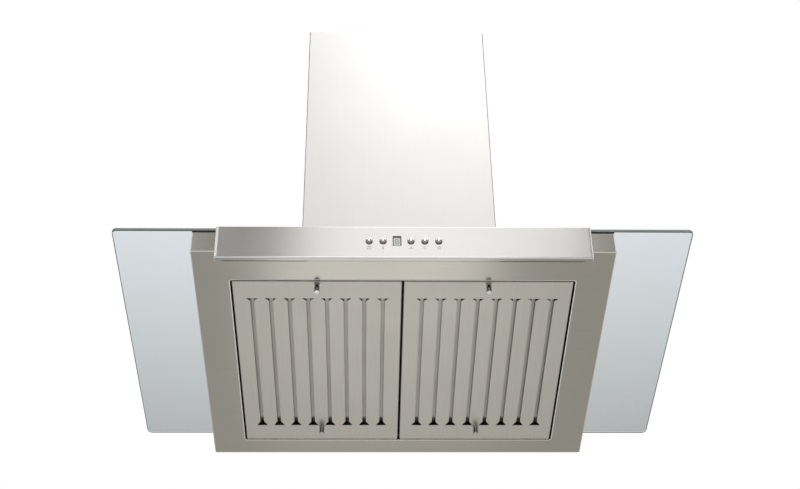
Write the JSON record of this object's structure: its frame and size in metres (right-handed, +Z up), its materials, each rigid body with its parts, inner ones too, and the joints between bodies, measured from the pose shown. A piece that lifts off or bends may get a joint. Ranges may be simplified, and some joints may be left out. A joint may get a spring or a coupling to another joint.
{
  "type": "wall mount range hood",
  "caption": "Wall mount range hood with a flat glass canopy, hinged baffle filters, a push button fascia, a centrifugal blower and a telescoping chimney cover.",
  "frame": {"origin": "centre of the four wall bolts, on the wall plane", "axes": "+X along the canopy to the viewer's right, +Y back to the wall, +Z up"},
  "size_m": [0.9, 0.5656, 0.8033],
  "materials": {
    "stainless": "brushed",
    "filter_steel": "brushed",
    "spring_steel": "bright",
    "screw_steel": "bright",
    "galvanised": "zinc coated",
    "clear_glass": "polished",
    "black_rubber": "matt",
    "black_plastic": "matt",
    "grey_plastic": "matt",
    "white_plastic": "gloss",
    "display_lens": "gloss",
    "display_body": "matt",
    "board_green": "satin",
    "motor_paint": "satin",
    "damper_sheet": "satin",
    "button_chrome": "polished"
  },
  "bodies": {
    "hood": {"canopy_pan": "stainless", "deck_frame": "stainless", "canopy_deck": "stainless", "rear_filter_rail": "stainless", "filter_clips": "spring_steel", "glass_gasket": "black_rubber", "glass_canopy": "clear_glass", "glass_clips": "galvanised", "glass_clip_screws": "screw_steel", "fascia_panel": "stainless", "fascia_rail": "motor_paint", "fascia_seal": "black_rubber", "fascia_screws": "screw_steel", "button_frame": "black_plastic", "display_window": "display_lens", "display_module": "display_body", "control_board": "board_green", "tact_switches": "black_plastic", "control_box": "black_plastic", "blower_box": "galvanised", "box_lid": "galvanised", "lid_screws": "screw_steel", "scroll_half_right": "grey_plastic", "scroll_half_left": "grey_plastic", "motor": "motor_paint", "motor_bracket": "galvanised", "motor_screws": "screw_steel", "run_capacitor": "white_plastic", "capacitor_strap": "galvanised", "outlet_collar": "galvanised", "damper_rod": "spring_steel", "wiring_box": "galvanised", "wiring_cover": "galvanised", "cable_bushing": "black_plastic", "chimney_lower": "stainless", "chimney_feet": "galvanised", "chimney_screws": "screw_steel"},
    "filter_left": {"filter_left_tray": "filter_steel", "filter_left_baffles": "filter_steel", "filter_left_knobs": "button_chrome", "filter_left_nuts": "screw_steel"},
    "filter_right": {"filter_right_tray": "filter_steel", "filter_right_baffles": "filter_steel", "filter_right_knobs": "button_chrome", "filter_right_nuts": "screw_steel"},
    "button_1": {"button_1": "button_chrome"},
    "button_2": {"button_2": "button_chrome"},
    "button_3": {"button_3": "button_chrome"},
    "button_4": {"button_4": "button_chrome"},
    "button_5": {"button_5": "button_chrome"},
    "fan": {"fan_wheel": "galvanised", "motor_shaft": "spring_steel"},
    "damper_front": {"damper_flap_front": "damper_sheet"},
    "damper_rear": {"damper_flap_rear": "damper_sheet"},
    "chimney_extension": {"chimney_upper": "stainless", "chimney_bracket": "galvanised"}
  },
  "joints": [
    {"name": "filter_left_hinge", "type": "hinge", "parent": "hood", "child": "filter_left", "pos_m": [-0.1345, -0.041, -0.1742], "axis": [1, 0, 0], "range_deg": [0, 70]},
    {"name": "filter_right_hinge", "type": "hinge", "parent": "hood", "child": "filter_right", "pos_m": [0.1345, -0.041, -0.1742], "axis": [1, 0, 0], "range_deg": [0, 70]},
    {"name": "button_1_press", "type": "slide", "parent": "hood", "child": "button_1", "axis": [0, 1, 0], "range_m": [0, 0.0012], "stiffness_N_per_m": 600, "springref_m": -0.0015},
    {"name": "button_2_press", "type": "slide", "parent": "hood", "child": "button_2", "axis": [0, 1, 0], "range_m": [0, 0.0012], "stiffness_N_per_m": 600, "springref_m": -0.0015},
    {"name": "button_3_press", "type": "slide", "parent": "hood", "child": "button_3", "axis": [0, 1, 0], "range_m": [0, 0.0012], "stiffness_N_per_m": 600, "springref_m": -0.0015},
    {"name": "button_4_press", "type": "slide", "parent": "hood", "child": "button_4", "axis": [0, 1, 0], "range_m": [0, 0.0012], "stiffness_N_per_m": 600, "springref_m": -0.0015},
    {"name": "button_5_press", "type": "slide", "parent": "hood", "child": "button_5", "axis": [0, 1, 0], "range_m": [0, 0.0012], "stiffness_N_per_m": 600, "springref_m": -0.0015},
    {"name": "fan_spin", "type": "hinge", "parent": "hood", "child": "fan", "pos_m": [0, -0.095, -0.0312], "axis": [1, 0, 0], "continuous": true},
    {"name": "damper_front_hinge", "type": "hinge", "parent": "hood", "child": "damper_front", "pos_m": [0, -0.1515, 0.1188], "axis": [-1, 0, 0], "range_deg": [0, 78]},
    {"name": "damper_rear_hinge", "type": "hinge", "parent": "hood", "child": "damper_rear", "pos_m": [0, -0.1515, 0.1188], "axis": [1, 0, 0], "range_deg": [0, 78]},
    {"name": "chimney_slide", "type": "slide", "parent": "hood", "child": "chimney_extension", "axis": [0, 0, 1], "range_m": [0, 0.3]}
  ]
}
